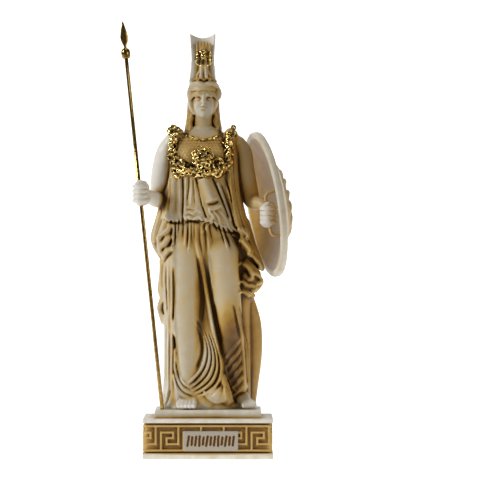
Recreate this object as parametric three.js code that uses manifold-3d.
import * as THREE from 'three';
import { mergeVertices } from 'three/addons/utils/BufferGeometryUtils.js';
import Module from 'manifold-3d';

// A souvenir statuette of a helmeted goddess, cast in ivory coloured stone resin with gilt details.
// She stands on a stepped plinth, with a brass spear in her right hand and a round shield on her left arm.
// Millimetres, +Z up. She faces -Y, and the origin lies under the middle of the plinth.

// Plinth
const plinthWidth = 94;
const plinthDepth = 70;
const plinthHeight = 29.4;
const stepWidth = 77;
const stepDepth = 54;
const stepHeight = 5.8;
const friezeBottom = 4.6;
const friezeHeight = 21.6;
const friezeRecess = 1.8;
const filletWidth = 1.5;
const filletInset = 1.3;
const reliefHeight = 1.4;
const meanderLine = 1.4;
const meanderPitch = 16.3;
const meanderOffset = -1;

// Name plate
const plateWidth = 39.4;
const plateHeight = 14.2;
const plateThickness = 2.4;
const plateBottom = 6.4;
const plateShift = 2.2;
const strokeDepth = 0.5;
const strokeWidth = 0.9;
const strokeHeight = 7.4;
const strokePitch = 2.7;
const strokeCount = 13;

// Figure
const figureHeight = 273.5;
const figureFlutes = 30;
const robeTolerance = 0.95;
const headTolerance = 0.4;
const smallestEdge = 0.25;

// Spear
const shaftDiameter = 2.8;
const spearLength = 282.5;
const spearFootX = -33;
const spearFootY = -22;
const spearSocketDepth = 2.5;
const bladeLength = 20;
const bladeWidth = 5.8;
const bladeThickness = 1.9;
const beadDiameter = 6.8;
const beadHeight = 7.6;
const clearance = 0.3;

// Shield
const shieldDiameter = 107;
const shieldRimWidth = 4.6;
const shieldRimThickness = 5;
const shieldBulge = 13.5;
const shieldWall = 3;
const shieldTurn = 12.3;
const shieldLean = 8.6;
const gripDiameter = 2.4;
const gripReach = 15;

// Colours
const ivory = new THREE.MeshStandardMaterial({ color: 0xe6dcc4, roughness: 0.55, metalness: 0 });
const ivoryStained = new THREE.MeshStandardMaterial({ color: 0xd9c49a, roughness: 0.6, metalness: 0 });
const brass = new THREE.MeshStandardMaterial({ color: 0xb08d3c, roughness: 0.25, metalness: 1 });

const wasm = await Module();
wasm.setup();

// A three.js geometry as a solid, and back.
function solidOf(geometry) {
  const plain = new THREE.BufferGeometry();
  plain.setAttribute('position', geometry.getAttribute('position').clone());
  if (geometry.index) plain.setIndex(geometry.index.clone());
  const merged = mergeVertices(plain, 1e-4);
  return new wasm.Manifold(new wasm.Mesh({
    numProp: 3,
    vertProperties: merged.attributes.position.array,
    triVerts: new Uint32Array(merged.index.array),
  }));
}

function geometryOf(solid) {
  const mesh = solid.getMesh();
  const geometry = new THREE.BufferGeometry();
  geometry.setAttribute('position', new THREE.BufferAttribute(new Float32Array(mesh.vertProperties), 3));
  geometry.setIndex(new THREE.BufferAttribute(new Uint32Array(mesh.triVerts), 1));
  geometry.computeVertexNormals();
  return geometry;
}

function joined(solids) {
  return solids.reduce((all, next) => all.add(next));
}

// The outer shell alone, without the small voids that lie closed in between joined shapes.
function outerShell(solid) {
  return solid.decompose().reduce((best, next) => (next.volume() > best.volume() ? next : best));
}

function box(width, depth, height, x, y, z) {
  return solidOf(new THREE.BoxGeometry(width, depth, height).translate(x, y, z));
}

// Closes a stack of rings, each a list of [x, y, z] in the same order, into one solid.
function stackOfRings(rings) {
  const count = rings[0].length;
  const points = rings.flat();
  const triangles = [];
  for (let level = 0; level + 1 < rings.length; level++) {
    for (let i = 0; i < count; i++) {
      const a = level * count + i;
      const b = level * count + (i + 1) % count;
      triangles.push(a, b, a + count, b, b + count, a + count);
    }
  }
  const middleOf = (ring) => [0, 1, 2].map((axis) => ring.reduce((sum, p) => sum + p[axis], 0) / count);
  const bottom = points.push(middleOf(rings[0])) - 1;
  const top = points.push(middleOf(rings[rings.length - 1])) - 1;
  const lastRing = (rings.length - 1) * count;
  for (let i = 0; i < count; i++) {
    const next = (i + 1) % count;
    triangles.push(bottom, next, i, top, lastRing + i, lastRing + next);
  }
  const geometry = new THREE.BufferGeometry();
  geometry.setAttribute('position', new THREE.Float32BufferAttribute(points.flat(), 3));
  geometry.setIndex(triangles);
  return solidOf(geometry);
}

// A rounded limb through [x, y, z, radius] points, with blunt ends.
function limb(chain, sides = 10) {
  const centres = chain.map(([x, y, z]) => new THREE.Vector3(x, y, z));
  const rings = [];
  const side = new THREE.Vector3();
  const up = new THREE.Vector3();
  const ringAt = (centre, along, radius) => {
    const guide = Math.abs(along.y) < 0.9 ? new THREE.Vector3(0, 1, 0) : new THREE.Vector3(1, 0, 0);
    side.crossVectors(guide, along).normalize();
    up.crossVectors(along, side);
    return Array.from({ length: sides }, (_, i) => {
      const turn = (2 * Math.PI * i) / sides;
      return centre.clone().addScaledVector(side, radius * Math.cos(turn))
        .addScaledVector(up, radius * Math.sin(turn)).toArray();
    });
  };
  centres.forEach((centre, i) => {
    const before = centres[Math.max(0, i - 1)];
    const after = centres[Math.min(centres.length - 1, i + 1)];
    const along = after.clone().sub(before).normalize();
    const radius = chain[i][3];
    if (i === 0) {
      rings.push(ringAt(centre.clone().addScaledVector(along, -0.7 * radius), along, 0.6 * radius));
    }
    rings.push(ringAt(centre, along, radius));
    if (i === centres.length - 1) {
      rings.push(ringAt(centre.clone().addScaledVector(along, 0.7 * radius), along, 0.6 * radius));
    }
  });
  return stackOfRings(rings);
}

// Distance fields: each takes a point and is negative inside.
const clamp01 = (t) => Math.min(1, Math.max(0, t));
const blend = (a, b, t) => a + (b - a) * t;
const ramp = (t, from, to) => {
  const s = clamp01((t - from) / (to - from));
  return s * s * (3 - 2 * s);
};

function softUnion(a, b, softness) {
  const overlap = Math.max(softness - Math.abs(a - b), 0) / softness;
  return Math.min(a, b) - overlap * overlap * softness / 4;
}

function limbField(chain) {
  return (x, y, z) => {
    let nearest = Infinity;
    for (let i = 0; i + 1 < chain.length; i++) {
      const [ax, ay, az, ar] = chain[i];
      const [bx, by, bz, br] = chain[i + 1];
      const [dx, dy, dz] = [bx - ax, by - ay, bz - az];
      const t = clamp01(((x - ax) * dx + (y - ay) * dy + (z - az) * dz) / (dx * dx + dy * dy + dz * dz));
      const gap = Math.hypot(x - ax - t * dx, y - ay - t * dy, z - az - t * dz) - blend(ar, br, t);
      nearest = Math.min(nearest, gap);
    }
    return nearest;
  };
}

function ellipsoidField(cx, cy, cz, rx, ry, rz) {
  return (x, y, z) => {
    const scaled = Math.hypot((x - cx) / rx, (y - cy) / ry, (z - cz) / rz);
    const steep = Math.hypot((x - cx) / rx ** 2, (y - cy) / ry ** 2, (z - cz) / rz ** 2);
    return steep < 1e-9 ? -Math.min(rx, ry, rz) : scaled * (scaled - 1) / steep;
  };
}

// Stations [z, centre x, centre y, half width, half depth], smoothly interpolated.
function stationAt(stations, z) {
  if (z <= stations[0][0]) return stations[0];
  const last = stations.length - 1;
  if (z >= stations[last][0]) return stations[last];
  let i = 0;
  while (z > stations[i + 1][0]) i++;
  const t = (z - stations[i][0]) / (stations[i + 1][0] - stations[i][0]);
  const before = stations[Math.max(0, i - 1)];
  const after = stations[Math.min(last, i + 2)];
  return stations[i].map((from, k) => {
    const to = stations[i + 1][k];
    const leave = (to - before[k]) / 2;
    const arrive = (after[k] - from) / 2;
    return (2 * t ** 3 - 3 * t ** 2 + 1) * from + (t ** 3 - 2 * t ** 2 + t) * leave
      + (3 * t ** 2 - 2 * t ** 3) * to + (t ** 3 - t ** 2) * arrive;
  });
}

function columnField(stations) {
  return (x, y, z) => {
    const [, cx, cy, a, b] = stationAt(stations, z);
    const scaled = Math.hypot((x - cx) / a, (y - cy) / b);
    const steep = Math.hypot((x - cx) / a ** 2, (y - cy) / b ** 2);
    return steep < 1e-9 ? -Math.min(a, b) : scaled * (scaled - 1) / steep;
  };
}

// Each ring's radii averaged a little with their neighbours, which takes out stair steps.
function softened(radii) {
  const last = radii.length - 1;
  const count = radii[0].length;
  return radii.map((ring, level) => ring.map((radius, i) => {
    const below = radii[Math.max(0, level - 1)][i];
    const above = radii[Math.min(last, level + 1)][i];
    const beside = ring[(i + 1) % count] + ring[(i + count - 1) % count];
    return (4 * radius + below + above + beside) / 8;
  }));
}

// Rings around an upright axis, each point found by walking in from outside until the field is met.
function skin(field, axis, levels, angles, extra = () => 0) {
  const reach = 60;
  const step = 0.8;
  const radiusAt = (z, turn) => {
    const [cx, cy] = axis(z);
    const [dx, dy] = [Math.cos(turn), Math.sin(turn)];
    let inside = reach;
    while (inside > 1 && field(cx + inside * dx, cy + inside * dy, z) > 0) inside -= step;
    let outside = inside + step;
    for (let k = 0; k < 8; k++) {
      const middle = (inside + outside) / 2;
      if (field(cx + middle * dx, cy + middle * dy, z) > 0) outside = middle;
      else inside = middle;
    }
    return inside;
  };
  const measured = levels.map((z) => angles.map((turn) => radiusAt(z, turn)));
  const radii = softened(softened(measured));
  return stackOfRings(levels.map((z, level) => angles.map((turn, i) => {
    const radius = radii[level][i] + extra(turn, z);
    const [cx, cy] = axis(z);
    return [cx + radius * Math.cos(turn), cy + radius * Math.sin(turn), z];
  })));
}

// The robe under everything, from its hem to the neck.
const robe = [
  [0, -3, 1, 26.5, 18.5],
  [12, -3, 1, 25, 17],
  [30, -3, 1, 24.5, 15.5],
  [60, -3, 1.5, 24.5, 15],
  [90, -4, 1.5, 25.5, 15],
  [120, -5.5, 1, 26.5, 15.5],
  [140, -5.5, 0.5, 25, 15],
  [160, -5, 0.5, 22.5, 13],
  [175, -4.5, 0, 22.5, 13],
  [188, -4.5, 0, 23.5, 12.5],
  [196, -4, 0.5, 22, 10.5],
  [201, -3.6, 1, 15, 9],
  [205, -3.4, 1, 9, 7.5],
];
// The overfold hangs from the chest to a hem below the waist.
const overfoldHem = [137.5, 129.5];
const hemSlope = [-3, 18];
const overfold = [
  [128, -6, 0.5, 29.5, 20],
  [137, -6, 0.5, 28.7, 19.4],
  [152, -5.3, 0, 26.3, 17],
  [166, -5, 0, 24, 15],
  [178, -4.5, -0.3, 23.6, 15.2],
  [190, -4.5, 0, 23, 12.5],
  [197, -4, 0.5, 20, 10],
  [203, -3.5, 1, 10, 8],
];
const rightLeg = [
  [-15.5, -4, 115.4, 12.5],
  [-15.5, -8.5, 78.9, 11],
  [-16.2, -10, 53.4, 9],
  [-16.9, -11, 31.5, 8],
  [-16.2, -9, 11.8, 8.5],
];
const leftLeg = [
  [10.1, -4, 111.8, 12.5],
  [13, -9, 86.2, 10.5],
  [15.9, -12.5, 62.9, 9.2],
  [17.4, -7, 42.4, 8],
  [21.8, -3, 16.9, 7],
];
const chest = [
  [-14, -6.5, 180, 9],
  [5.5, -6.5, 180, 9],
];
// Folds that stand out of the robe: down the middle, and swinging round the right ankle.
const skirtFolds = [
  [[-3.8, -15.5, 106.7, 2], [-1.6, -18, 78.9, 2.2], [2.8, -19.5, 49.7, 2.3],
    [9.3, -19.5, 24.2, 2.4], [7.2, -20, 11.8, 2.4]],
  [[-8.9, -14, 62.9, 1.4], [-1.6, -17, 46.1, 1.9], [-1.6, -18.5, 32.9, 2], [-8.9, -19.5, 22.7, 2]],
  [[3.5, -18, 41, 1.8], [2, -19.5, 29.3, 2.2], [-7.4, -20.5, 17.6, 2.2], [-16.2, -20, 14.7, 2]],
  [[9.3, -19, 26.4, 2], [3.5, -20.5, 14.7, 2.4], [-3.8, -21, 8.8, 2.4], [-13.3, -20, 10.3, 2]],
  [[24.7, -9, 53.4, 2], [18.8, -13, 38.8, 1.8], [13, -16, 26.4, 1.8]],
  [[24.7, -8, 41, 2], [19.6, -13, 26.4, 2], [13, -17, 14.7, 2]],
  [[-27.9, -3, 106.7, 3.6], [-28.6, -5, 71.6, 3.4], [-27.9, -5, 35.1, 3.4], [-27.9, -4, 7.4, 4]],
  [[21, -6, 78.9, 2.2], [24.7, -6, 46.1, 2.4], [24.7, -5, 16.9, 2.8], [23.2, -4, 4.5, 4]],
  [[10.1, -20, 20.5, 2], [15.2, -20.5, 11.8, 2.6], [15.9, -20, 3, 2.4]],
  [[-1.6, -19, 6.6, 2.4], [7.2, -20.5, 4.5, 2.6], [14.5, -20, 8.1, 2.4]],
];
// The cloak: its long front edge on the left side, the falls of zigzag folds, and the corner on the right.
const cloakFolds = [
  [[18.8, -7, 199.4, 4], [21, -10, 177.5, 3.4], [23.2, -10.5, 151.9, 3.2],
    [28.3, -9, 126.4, 3.2], [36.4, -5, 106.7, 2.4]],
  [[21.8, -3, 195.7, 4], [23.9, -5, 166.5, 3.6], [28.3, -4.5, 137.3, 3.6],
    [34.2, -3, 119.1, 3], [40, -1, 102.3, 1.8]],
  [[23.2, -10, 131.5, 3], [24.7, -9, 115.4, 3]],
  [[27.6, -8, 124.2, 3], [29.8, -7, 109.6, 3]],
  [[32, -6, 114, 3], [34.2, -5, 99.4, 3]],
  [[26.9, -7, 106.7, 3.4], [29.8, -6, 90.6, 3]],
  [[35.6, -2, 104.5, 3], [37.1, -1, 90.6, 2.6]],
  [[25.4, 0, 126.4, 7], [29.8, 1, 100.8, 7], [27.6, 2, 84.8, 5.5]],
  [[-30.1, 3, 155.6, 3], [-36.6, 5, 133.7, 3.6], [-40.3, 5.5, 124.2, 2.6], [-35.9, 4, 114, 2.6]],
  [[-33, -3, 132.9, 4.2], [-33.4, -4, 119.8, 3.6], [-30.8, -3, 108.1, 3]],
  [[-32.3, 3, 93.5, 4], [-34.8, 3, 84.8, 2.2]],
  [[-32.3, 3, 77.5, 4], [-34.5, 3, 70.2, 2.4], [-31.5, 2, 62.9, 2.6]],
  [[-30.1, 0, 16.1, 4], [-31.5, -2, 3.7, 4.6]],
];
// The serpent that rises behind her left foot and props the cloak.
const serpent = [
  [29.8, 13, 4.5, 5.2],
  [31.6, 11, 16.9, 5],
  [33.1, 9, 35.1, 5.9],
  [33.4, 8, 49.7, 6.2],
  [32.3, 7, 64.3, 6],
  [28.3, 7, 80.4, 5],
  [26.1, 7, 89.9, 4.4],
];
const neck = [
  [-3.4, 1.5, 197.2, 9.5],
  [-3.4, 0.5, 204.5, 7],
  [-3.4, -0.5, 213.2, 6.4],
];

function bodyField() {
  const robeShape = columnField(robe);
  const overfoldShape = columnField(overfold);
  const legs = [rightLeg, leftLeg].map(limbField);
  const bust = chest.map(([x, y, z, r]) => ellipsoidField(x, y, z, r, r, 1.2 * r));
  const folds = [...skirtFolds, ...cloakFolds, serpent].map(limbField);
  const neckShape = limbField(neck);
  return (x, y, z) => {
    let gap = robeShape(x, y, z);
    for (const leg of legs) gap = softUnion(gap, leg(x, y, z), 4);
    for (const breast of bust) gap = softUnion(gap, breast(x, y, z), 5);
    const hem = blend(...overfoldHem, y > 2 ? 0.4 : ramp(x, ...hemSlope));
    if (z > hem) gap = Math.min(gap, overfoldShape(x, y, z));
    for (const fold of folds) gap = softUnion(gap, fold(x, y, z), 1.5);
    return softUnion(gap, neckShape(x, y, z), 3);
  };
}

// How far the regular folds stand out, by direction and height. The legs and the chest stay smooth.
function fluteDepth(turn, z) {
  const front = clamp01(-Math.sin(turn));
  const own = 0.7 + 0.3 * Math.sin(5 * turn + 1) * Math.cos(3 * turn);
  const hung = ramp(z, 133, 136) * (1 - ramp(z, 160, 172)) * 1.3;
  const gathered = (1 - ramp(z, 133, 136)) * ramp(z, 95, 120) * 0.9;
  const skirt = (1 - ramp(z, 95, 120)) * (1 - ramp(front, 0.25, 0.6)) * 1.5;
  const back = ramp(z, 160, 172) * (1 - ramp(z, 192, 199)) * (1 - ramp(front, 0.05, 0.3)) * 0.9;
  return own * (hung + gathered + skirt + back);
}

// Sampled finely, then thinned to the triangles that the shape needs.
function body() {
  const spacing = 2;
  const top = 208;
  const levels = Array.from({ length: top / spacing + 1 }, (_, k) => k * spacing);
  const angles = Array.from({ length: 4 * figureFlutes }, (_, k) => (Math.PI * k) / (2 * figureFlutes));
  const flutes = (turn, z) => fluteDepth(turn, z) * Math.cos(figureFlutes * turn);
  const axis = (z) => stationAt(robe, z).slice(1, 3);
  return skin(bodyField(), axis, levels, angles, flutes).simplify(robeTolerance);
}

// Head with its helmet, the hair behind the neck and the raised cheek piece.
function head() {
  const face = ellipsoidField(-3.1, -2, 221.6, 8.4, 10, 12.4);
  const jaw = ellipsoidField(-3.1, -5, 216.2, 5.6, 6, 5.4);
  const helmet = ellipsoidField(-3.8, 1.5, 227.1, 11.4, 13, 19);
  const brim = ellipsoidField(-3.8, 0, 234.8, 10.8, 12.4, 4.2);
  const nose = limbField([[-2.7, -11, 226.4, 0.9], [-2.7, -12.6, 220.5, 1.3]]);
  const ear = ellipsoidField(6.8, 0.5, 228.6, 3, 4, 5);
  const hair = limbField([[-3.8, 5, 222, 10], [-3.8, 7, 211.8, 10], [-3.4, 8, 201.6, 12]]);
  const eyes = [-1, 1].map((side) => ellipsoidField(-2.9 + 3.4 * side, -11.2, 225.4, 2.4, 1.8, 1.3));
  const lids = [-1, 1].map((side) => ellipsoidField(-2.9 + 3.4 * side, -9.2, 225.3, 1.7, 1.6, 0.9));
  const lips = limbField([[-4.6, -10.4, 217.2, 0.8], [-2.9, -11.4, 217.3, 1.1], [-1.2, -10.4, 217.2, 0.8]]);
  const field = (x, y, z) => {
    let gap = softUnion(face(x, y, z), jaw(x, y, z), 3);
    const shell = Math.max(helmet(x, y, z), -5.5 - y > 0 && z < 232.5 ? 1 : -9);
    gap = softUnion(gap, shell, 0.8);
    gap = softUnion(gap, brim(x, y, z), 0.8);
    gap = softUnion(gap, nose(x, y, z), 0.8);
    for (const eye of eyes) gap = Math.max(gap, -eye(x, y, z));
    for (const lid of lids) gap = softUnion(gap, lid(x, y, z), 0.5);
    gap = softUnion(gap, lips(x, y, z), 0.6);
    gap = softUnion(gap, ear(x, y, z), 1);
    return softUnion(gap, hair(x, y, z), 1);
  };
  const levels = Array.from({ length: 47 }, (_, k) => 199.5 + k);
  const angles = Array.from({ length: 60 }, (_, k) => (2 * Math.PI * k) / 60);
  return skin(field, () => [-3.2, 0], levels, angles).simplify(headTolerance);
}

// The tall crest: one swept plume, hollowed along its top, from the brow over the head to the nape.
function crest() {
  const spine = [
    // y and z of the outer edge, y and z of the inner edge, half width
    [-7.5, 239, 4, 236, 9.8],
    [-7.6, 252, 5, 246, 8.4],
    [-7.8, 264, 6, 249, 8.5],
    [-6.5, 273.5, 8, 250, 9.2],
    [4, 273, 10, 248, 8.8],
    [14, 268, 12, 244, 8],
    [22.5, 258, 14, 239, 7],
    [27, 245, 15.5, 232, 6],
    [28.5, 230, 17.5, 224, 5],
    [27, 214, 19, 212, 4],
  ];
  const hollow = 3;
  const middle = -3.8;
  const rings = spine.map(([oy, oz, iy, iz, half]) => {
    const length = Math.hypot(oy - iy, oz - iz);
    const dent = Math.min(hollow, 0.3 * length) / length;
    const [my, mz] = [blend(oy, iy, dent), blend(oz, iz, dent)];
    return [
      [middle - half, iy, iz], [middle - half, oy, oz], [middle, my, mz],
      [middle + half, oy, oz], [middle + half, iy, iz],
    ];
  });
  return stackOfRings(rings);
}

// A small winged creature sits on the front of the helmet.
function sphinx() {
  return joined([
    limb([[-3.4, -9, 238.5, 3.2], [-3.4, -10, 245, 3.4], [-3.4, -11, 251, 2.4]], 8),
    limb([[-3.4, -11.6, 252.6, 2.2], [-3.4, -12, 255.4, 2.3]], 8),
    ...[-1, 1].map((side) => limb([
      [-3.4 + 2 * side, -9, 246, 1.6], [-3.4 + 4.4 * side, -8.4, 254, 1.7], [-3.4 + 3.4 * side, -8, 262, 1.1],
    ], 6)),
    ...[-1, 1].map((side) => limb([
      [-3.4 + 2 * side, -12, 249, 1.2], [-3.4 + 2.3 * side, -13.4, 240.5, 1.3],
    ], 6)),
  ]);
}

const rightArm = [
  [-26, 1, 193, 7.5],
  [-31, 1, 186, 7.2],
  [-35, 2.5, 172, 6.6],
  [-36.5, 4, 158, 6],
  [-37, 1, 152.5, 6],
  [-40, -7, 153, 5.4],
  [-44.5, -15, 155.5, 4.2],
  [-47, -19, 156.5, 4.4],
];
const leftArm = [
  [21, 1, 191, 7],
  [24, 2, 186, 7],
  [26, 3, 174, 6.5],
  [28.5, 3.5, 157, 6],
  [29.5, 2, 150, 5.8],
  [33.5, -4, 149, 5],
  [38, -9.5, 149.5, 4],
  [41, -11.5, 147, 4.2],
];
// The fists, and the middle of the shaft where it passes through the right one.
const rightGrip = [-49, -21.8, 156.5];
const leftGrip = [43.5, -12.6, 141];

// A closed hand round an upright bar: a palm behind it and four fingers wrapped in front.
function fist([x, y, z], palmX, palmY) {
  const parts = [limb([[x + palmX, y + palmY, z - 5, 4.2], [x + palmX, y + palmY, z + 4, 4.4]], 7)];
  for (let finger = 0; finger < 4; finger++) {
    const height = z + 5.2 - 3.4 * finger;
    parts.push(limb([
      [x + 4.6, y + 1, height, 1.8], [x, y - 4.2, height - 0.4, 1.9], [x - 4.4, y + 0.6, height - 0.2, 1.8],
    ], 6));
  }
  parts.push(limb([[x, y, z - 7, 3.6], [x, y, z + 6.6, 3.6]], 8));
  return joined(parts);
}

function feet() {
  const rightFoot = limb([[-15.5, -8, 9, 6], [-16.5, -15, 5.4, 5.8], [-17, -20.5, 3.4, 4.6]], 10);
  const leftFoot = limb([[24, -3, 8, 5], [26.5, -9, 5, 4.8], [28.6, -15, 3.2, 4]], 10);
  const toes = [];
  for (let toe = 0; toe < 4; toe++) {
    toes.push(limb([[-21.4 + 3 * toe, -20, 2.6, 1.9], [-21.8 + 3.1 * toe, -23.8 - 0.5 * toe, 1.9, 1.7]], 5));
    toes.push(limb([[26 + 2 * toe, -15, 2.4, 1.6], [26.8 + 2.1 * toe, -18.4 + 0.6 * toe, 1.8, 1.5]], 5));
  }
  return joined([rightFoot, leftFoot, ...toes]);
}

// The aegis lies over the chest, edged with twisted snakes, with a medallion in its middle.
const aegisEdge = [
  [-22.8, 196.4], [-25.7, 191.3], [-26.4, 184], [-24.2, 176], [-17.7, 171.6], [-10.4, 174.5], [-3.8, 168.7],
  [2.8, 173.1], [10.1, 169.4], [16.6, 174.5], [18.8, 183.3], [17.4, 191.3], [14.5, 197.2],
];
const edgeThickness = 3.4;
const medallion = [-4.2, 180.4];
const medallionDiameter = 13.5;
const neckline = [[-14.7, 202.3], [-9.6, 197.9], [-3.1, 195.7], [3.5, 197.9], [7.9, 202.3]];

function aegis(field) {
  const surface = (x, z) => {
    let y = -30;
    while (y < 0 && field(x, y, z) > 0) y += 0.25;
    return y;
  };
  const along = (list, radius, lift) => limb(list.map(([x, z]) => [x, surface(x, z) + lift, z, radius]), 6);
  const [mx, mz] = medallion;
  const disc = solidOf(new THREE.SphereGeometry(medallionDiameter / 2, 12, 6)
    .scale(1, 0.45, 1.15).translate(mx, surface(mx, mz) - 0.2, mz));
  const boss = solidOf(new THREE.SphereGeometry(medallionDiameter / 4, 8, 5)
    .scale(1, 0.8, 1.2).translate(mx, surface(mx, mz) - 2.6, mz));
  return joined([
    along(aegisEdge, edgeThickness / 2, 0.3),
    along(neckline, 1, 0.2),
    disc,
    boss,
  ]);
}

// Frame of the shield: across it, up it, and out through its boss.
const shieldCentre = [41.8, 0, 148.6];
const turned = THREE.MathUtils.degToRad(shieldTurn);
const leaned = THREE.MathUtils.degToRad(shieldLean);
const shieldOut = new THREE.Vector3(
  Math.cos(turned) * Math.cos(leaned), Math.sin(turned) * Math.cos(leaned), Math.sin(leaned));
const shieldAcross = new THREE.Vector3(-Math.sin(turned), Math.cos(turned), 0);
const shieldUp = new THREE.Vector3().crossVectors(shieldOut, shieldAcross);

const figureScale = figureHeight / 273.5;
const stepTop = plinthHeight + stepHeight;
const placed = (geometry) => geometry.scale(figureScale, figureScale, figureScale).translate(0, 0, stepTop);

function shieldPlaced(geometry) {
  const frame = new THREE.Matrix4().makeBasis(shieldAcross, shieldUp, shieldOut);
  const [x, y, z] = shieldCentre.map((value) => value * figureScale);
  return geometry.applyMatrix4(frame).translate(x, y, z + stepTop);
}

// The round shield: a thick rounded rim, a hollow dish, and petals round a boss on the outside.
const shieldSides = 32;
const shieldOuter = shieldDiameter / 2;
const shieldInner = shieldOuter - shieldRimWidth;
const shieldDome = (r) => 0.8 + (shieldBulge - 0.8) * (1 - (r / shieldInner) ** 2.2);

function shieldShell() {
  const [outer, inner, dome] = [shieldOuter, shieldInner, shieldDome];
  const rim = shieldRimThickness / 2;
  const petal = (r, turn) => {
    const share = r / outer;
    if (share > 0.48) return 0;
    if (share < 0.2) return 2.4;
    return 1.6 + 0.9 * Math.cos(12 * turn);
  };
  const profile = [
    [inner * 0.4, dome(inner * 0.4) - shieldWall, 0], [inner * 0.75, dome(inner * 0.75) - shieldWall, 0],
    [inner, -rim * 0.7, 0], [inner + 0.9, -rim, 0], [outer - 1.3, -rim, 0], [outer, -rim * 0.4, 0],
    [outer, rim * 0.4, 0], [outer - 1.3, rim, 0], [inner + 0.9, rim, 0], [inner, rim * 0.5, 0],
    [inner * 0.96, dome(inner * 0.96), 0], [inner * 0.75, dome(inner * 0.75), 0],
    [inner * 0.55, dome(inner * 0.55), 1], [inner * 0.4, dome(inner * 0.4), 1],
    [inner * 0.24, dome(inner * 0.24), 1], [inner * 0.19, dome(inner * 0.19), 1],
  ];
  const rings = profile.map(([r, w, raised]) => Array.from({ length: shieldSides }, (_, i) => {
    const turn = (2 * Math.PI * i) / shieldSides;
    return [r * Math.cos(turn), r * Math.sin(turn), w + raised * petal(r, turn)];
  }));
  return stackOfRings(rings);
}

// The grip inside the shield passes through the left fist.
function shieldGrip(diameter) {
  const [gx, gy, gz] = leftGrip.map((value, axis) => (value - shieldCentre[axis]) * figureScale);
  const grip = new THREE.Vector3(gx, gy, gz);
  const [across, up, out] = [shieldAcross, shieldUp, shieldOut].map((axis) => grip.dot(axis));
  const half = gripReach * figureScale;
  const root = (height) => shieldDome(Math.hypot(across, height)) - 0.8 * shieldWall;
  return limb([
    [across, up - half - 2, root(up - half - 2), diameter / 2], [across, up - half, out + 1.5, diameter / 2],
    [across, up - half / 2, out, diameter / 2], [across, up + half / 2, out, diameter / 2],
    [across, up + half, out + 1.5, diameter / 2], [across, up + half + 2, root(up + half + 2), diameter / 2],
  ], 8);
}

// The spear runs straight from the step through the right fist.
const spearFoot = new THREE.Vector3(spearFootX * figureScale, spearFootY * figureScale, stepTop);
const spearHold = new THREE.Vector3(...rightGrip).multiplyScalar(figureScale);
spearHold.z += stepTop;
const spearWay = spearHold.clone().sub(spearFoot).normalize();
const shaftLength = spearLength - bladeLength - beadHeight + spearSocketDepth;

function alongSpear(geometry, distance) {
  const spin = new THREE.Quaternion().setFromUnitVectors(new THREE.Vector3(0, 0, 1), spearWay);
  const centre = spearFoot.clone().addScaledVector(spearWay, distance);
  return geometry.applyQuaternion(spin).translate(centre.x, centre.y, centre.z);
}

function rod(diameter, length, sides = 12) {
  return new THREE.CylinderGeometry(diameter / 2, diameter / 2, length, sides).rotateX(Math.PI / 2);
}

function spearShaft() {
  const whole = solidOf(alongSpear(rod(shaftDiameter, shaftLength + 8), shaftLength / 2 - 4));
  return whole.trimByPlane([0, 0, 1], stepTop);
}

function spearHead() {
  const rings = [];
  const ring = (z, width, depth) => rings.push(Array.from({ length: 12 }, (_, i) => {
    const turn = (2 * Math.PI * i) / 12;
    return [width / 2 * Math.cos(turn), depth / 2 * Math.sin(turn), z];
  }));
  for (const share of [0.02, 0.12, 0.3, 0.5, 0.7, 0.88]) {
    const swell = Math.sqrt(1 - (2 * share - 1) ** 2);
    const wide = blend(shaftDiameter + 0.6, beadDiameter, swell);
    ring(share * beadHeight, wide, wide);
  }
  const blade = [[0, 0.5], [0.12, 0.48], [0.3, 0.95], [0.45, 1], [0.65, 0.8], [0.85, 0.42], [1, 0.1]];
  for (const [share, width] of blade) {
    const thin = share < 0.2 ? bladeWidth * width * 0.9 : bladeThickness * blend(0.4, 1, width);
    ring(beadHeight + share * bladeLength, bladeWidth * width, thin);
  }
  const head = geometryOf(stackOfRings(rings));
  const socket = rod(shaftDiameter + 2 * clearance, 2 * (spearSocketDepth + clearance));
  return solidOf(alongSpear(head, shaftLength - spearSocketDepth))
    .subtract(solidOf(alongSpear(socket, shaftLength - spearSocketDepth)));
}

// The figure is one casting, bored for the spear and notched for the grip of the shield.
function figure() {
  const field = bodyField();
  const shape = joined([
    body(), head(), crest(), sphinx(), limb(rightArm), limb(leftArm),
    fist(rightGrip, 2.5, 2.6), fist(leftGrip, -1.5, 2.6), feet(), aegis(field),
  ]).trimByPlane([0, 0, 1], 0);
  const drill = rod(shaftDiameter + 2 * clearance, shaftLength);
  const bore = solidOf(alongSpear(drill, shaftLength / 2));
  const notch = solidOf(shieldPlaced(geometryOf(shieldGrip(gripDiameter + 2 * clearance))));
  return outerShell(solidOf(placed(geometryOf(shape))).subtract(bore).subtract(notch).simplify(smallestEdge));
}

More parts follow.
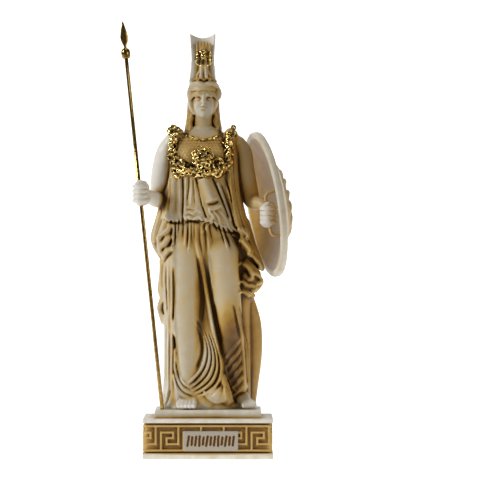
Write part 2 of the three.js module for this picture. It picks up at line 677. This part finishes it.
// The key frieze of one face. Each key is a line of [across, up] points from the foot of its upright.
// The keys at the ends are cut off just before the corner.
function meander(width, place) {
  const low = friezeBottom + filletInset + filletWidth;
  const high = friezeBottom + friezeHeight - filletInset - filletWidth;
  const rise = high - low;
  const pitch = meanderPitch;
  const key = [
    [0, low], [0, low + 0.76 * rise], [0.54 * pitch, low + 0.76 * rise], [0.54 * pitch, low + 0.51 * rise],
    [0.25 * pitch, low + 0.51 * rise], [0.25 * pitch, low + 0.24 * rise], [0.77 * pitch, low + 0.24 * rise],
    [0.77 * pitch, high],
  ];
  const half = meanderLine / 2;
  const depth = reliefHeight + 1;
  const bars = [];
  const edge = width / 2 - clearance;
  const first = Math.floor((-edge - meanderOffset) / pitch);
  const last = Math.floor((edge - meanderOffset) / pitch);
  for (let count = first; count <= last; count++) {
    const start = meanderOffset + count * pitch;
    for (let i = 0; i + 1 < key.length; i++) {
      const [x0, z0] = key[i];
      const [x1, z1] = key[i + 1];
      const left = Math.max(start + Math.min(x0, x1) - half, -edge);
      const right = Math.min(start + Math.max(x0, x1) + half, edge);
      const bottom = Math.min(z0, z1) - half;
      const top = Math.max(z0, z1) + half;
      if (right - left > 0.4 * meanderLine) {
        bars.push(box(right - left, depth, top - bottom,
          (left + right) / 2, place - depth / 2 + 1, (bottom + top) / 2));
      }
    }
  }
  return joined(bars);
}

// The two fillets that frame the frieze on one face.
function fillets(width, place) {
  const depth = reliefHeight + 1;
  const low = friezeBottom + filletInset + filletWidth / 2;
  const high = friezeBottom + friezeHeight - filletInset - filletWidth / 2;
  return joined([low, high].map((height) => (
    box(width + 2 * reliefHeight, depth, filletWidth, 0, place - depth / 2 + 1, height))));
}

function plinth() {
  const block = box(plinthWidth, plinthDepth, plinthHeight, 0, 0, plinthHeight / 2);
  const middle = friezeBottom + friezeHeight / 2;
  const coreWidth = plinthWidth - 2 * friezeRecess;
  const coreDepth = plinthDepth - 2 * friezeRecess;
  const core = box(coreWidth, coreDepth, friezeHeight + 2, 0, 0, middle);
  const belt = box(plinthWidth + 2, plinthDepth + 2, friezeHeight, 0, 0, middle).subtract(core);
  const front = -(plinthDepth / 2 - friezeRecess);
  const side = -(plinthWidth / 2 - friezeRecess);
  const pocket = box(plateWidth + 2 * clearance, 20, plateHeight + 2 * clearance, plateShift, front - 10,
    plateBottom + plateHeight / 2);
  const keys = meander(coreWidth, front);
  const sideKeys = meander(coreDepth, side);
  const long = fillets(coreWidth, front);
  const short = fillets(coreDepth, side);
  const step = box(stepWidth, stepDepth, stepHeight + 1, 0, 0, plinthHeight + (stepHeight - 1) / 2);
  return joined([
    block.subtract(belt), long.add(keys).subtract(pocket), long.rotate([0, 0, 180]),
    short.add(sideKeys).rotate([0, 0, 90]), short.add(sideKeys).rotate([0, 0, -90]), step,
  ]);
}

// The plate carries a row of slanting strokes where the photographed one is lettered.
function namePlate() {
  const back = -(plinthDepth / 2 - friezeRecess);
  const plate = box(plateWidth, plateThickness, plateHeight, plateShift, back - plateThickness / 2,
    plateBottom + plateHeight / 2);
  const leans = [0.16, 0.08, 0.13, 0.05, 0.1];
  const shares = [1, 0.82, 0.92, 1, 0.75];
  const strokes = [];
  for (let i = 0; i < strokeCount; i++) {
    const tall = strokeHeight * shares[i % shares.length];
    const stroke = new THREE.BoxGeometry(strokeWidth, 2 * strokeDepth, tall)
      .rotateY(leans[i % leans.length])
      .translate(plateShift + (i - (strokeCount - 1) / 2) * strokePitch, back - plateThickness,
        plateBottom + plateHeight / 2);
    strokes.push(solidOf(stroke));
  }
  return plate.subtract(joined(strokes));
}

function mesh(name, solid, material) {
  const part = new THREE.Mesh(geometryOf(solid), material);
  part.name = name;
  return part;
}

const shield = solidOf(shieldPlaced(geometryOf(shieldShell().add(shieldGrip(gripDiameter)))));

const statue = new THREE.Group();
statue.name = 'athena_statue';
statue.add(
  mesh('figure', figure(), ivory),
  mesh('shield', shield, ivory),
  mesh('spear_shaft', spearShaft(), brass),
  mesh('spear_head', spearHead(), brass),
  mesh('plinth', plinth(), ivory),
  mesh('name_plate', namePlate(), ivoryStained),
);

export default statue;
